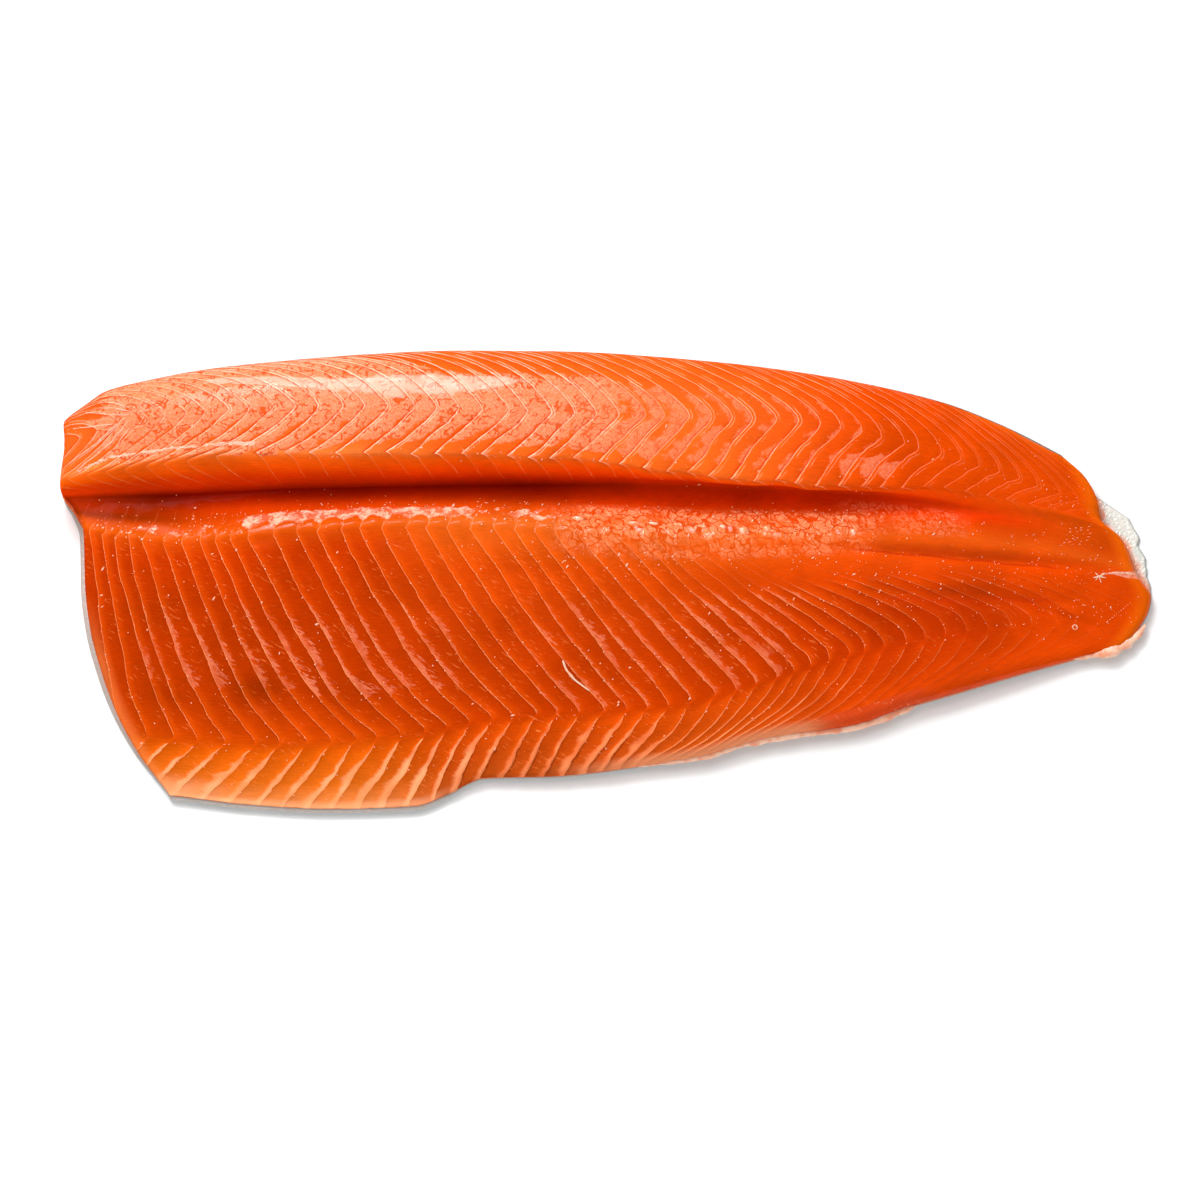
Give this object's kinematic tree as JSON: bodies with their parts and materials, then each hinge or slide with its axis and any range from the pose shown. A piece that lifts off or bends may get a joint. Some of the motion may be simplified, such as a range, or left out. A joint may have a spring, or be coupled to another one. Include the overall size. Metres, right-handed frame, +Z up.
{
  "type": "raw trout fillet",
  "caption": "Raw rainbow trout fillet lying skin side down: thick round loin, bone groove, flank thinning to the belly edge and a cut tail.",
  "frame": {"origin": "centre of the fillet's outline on the table it lies on", "axes": "+X from the head cut to the tail cut, +Y towards the back of the fish, +Z up out of the flesh"},
  "size_m": [0.4005, 0.1712, 0.0284],
  "materials": {
    "flesh": "wet raw orange muscle with pale connective lines",
    "skin": "wet silver fish skin, olive and spotted along the back"
  },
  "bodies": {
    "root": {"flesh": "flesh", "skin": "skin"}
  },
  "joints": []
}
